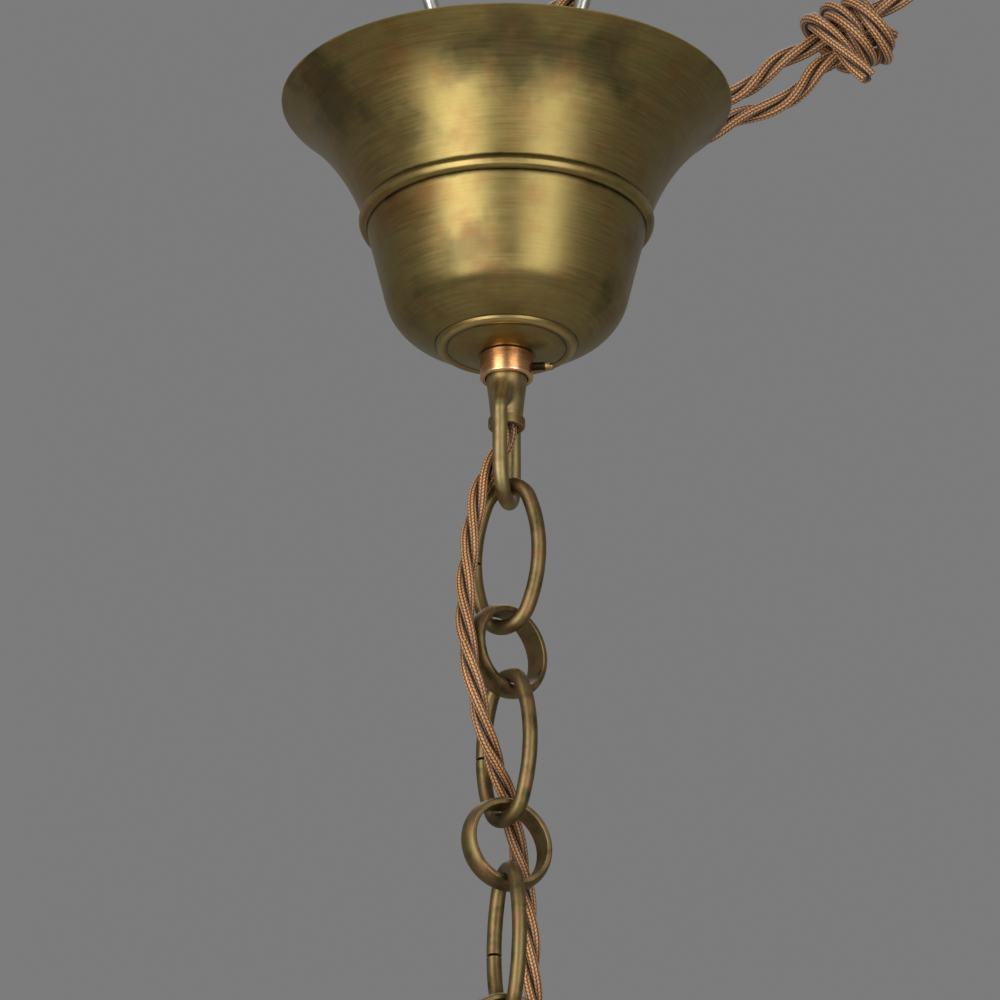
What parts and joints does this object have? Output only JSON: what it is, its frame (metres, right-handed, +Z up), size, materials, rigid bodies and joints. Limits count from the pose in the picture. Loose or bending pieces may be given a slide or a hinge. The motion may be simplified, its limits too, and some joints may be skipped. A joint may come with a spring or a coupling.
{
  "type": "hall lantern suspension",
  "caption": "Ceiling suspension of a hall lantern: spun brass canopy on a hanging stirrup, oval and ring link chain, twisted fabric flex and a threaded loop for the lantern.",
  "frame": {"origin": "inside of the top of the stirrup, where it hangs on the ceiling hook", "axes": "+Z up along the chain, +X to the right and +Y away from the viewer of the picture"},
  "size_m": [0.1908, 0.13, 0.4151],
  "materials": {
    "antique_brass": "spun, aged satin",
    "coppery_brass": "turned, satin",
    "zinc_steel": "zinc plated",
    "bush_plastic": "moulded",
    "flex_braid": "braided over cores"
  },
  "bodies": {
    "base": {"stirrup": "zinc_steel", "stirrup_plate": "zinc_steel", "rod_nuts": "zinc_steel", "stem_tube": "zinc_steel", "tube_washer": "zinc_steel", "tube_nut_upper": "zinc_steel", "tube_nut_lower": "zinc_steel", "tube_bush": "bush_plastic", "loop_stem": "antique_brass", "stem_bush": "antique_brass", "stem_flex": "flex_braid", "chain_flex": "flex_braid", "flex_lead": "flex_braid"},
    "collar": {"canopy_collar": "coppery_brass"},
    "canopy": {"canopy": "antique_brass", "flex_hank": "flex_braid"},
    "screw": {"collar_screw": "antique_brass"},
    "oval_1": {"oval_link_1": "antique_brass"},
    "ring_1": {"ring_link_1": "antique_brass"},
    "oval_2": {"oval_link_2": "antique_brass"},
    "ring_2": {"ring_link_2": "antique_brass"},
    "oval_3": {"oval_link_3": "antique_brass"},
    "ring_3": {"ring_link_3": "antique_brass"},
    "lantern": {"lantern_loop": "antique_brass", "lantern_bush": "antique_brass"}
  },
  "joints": [
    {"name": "collar_slide", "type": "slide", "parent": "base", "child": "collar", "axis": [0, 0, 1], "range_m": [0, 0.034], "deforming": ["flex_lead"]},
    {"name": "canopy_lift", "type": "slide", "parent": "collar", "child": "canopy", "axis": [0, 0, 1], "range_m": [0, 0.028], "deforming": ["flex_lead"]},
    {"name": "screw_turn", "type": "hinge", "parent": "collar", "child": "screw", "pos_m": [0.01045, -0.00128, -0.1495], "axis": [0.9925, -0.1219, 0], "continuous": true},
    {"name": "oval_1_swing", "type": "hinge", "parent": "base", "child": "oval_1", "pos_m": [0, 0, -0.1911], "axis": [0.225, 0.9744, 0], "range_deg": [-30, 30], "deforming": ["chain_flex"]},
    {"name": "ring_1_swing", "type": "hinge", "parent": "oval_1", "child": "ring_1", "pos_m": [0, 0, -0.23035], "axis": [0.829, -0.5592, 0], "range_deg": [-30, 30], "deforming": ["chain_flex"]},
    {"name": "oval_2_swing", "type": "hinge", "parent": "ring_1", "child": "oval_2", "pos_m": [0, 0, -0.25371], "axis": [0.7314, 0.682, 0], "range_deg": [-30, 30], "deforming": ["chain_flex"]},
    {"name": "ring_2_swing", "type": "hinge", "parent": "oval_2", "child": "ring_2", "pos_m": [0, 0, -0.28961], "axis": [0.6018, -0.7986, 0], "range_deg": [-30, 30], "deforming": ["chain_flex"]},
    {"name": "oval_3_swing", "type": "hinge", "parent": "ring_2", "child": "oval_3", "pos_m": [0, 0, -0.31301], "axis": [0.8829, 0.4695, 0], "range_deg": [-30, 30], "deforming": ["chain_flex"]},
    {"name": "ring_3_swing", "type": "hinge", "parent": "oval_3", "child": "ring_3", "pos_m": [0, 0, -0.34891], "axis": [0.3256, -0.9455, 0], "range_deg": [-30, 30], "deforming": ["chain_flex"]},
    {"name": "lantern_swing", "type": "hinge", "parent": "ring_3", "child": "lantern", "pos_m": [0, 0, -0.37309], "axis": [0.9397, 0.342, 0], "range_deg": [-30, 30], "deforming": ["chain_flex"]}
  ]
}
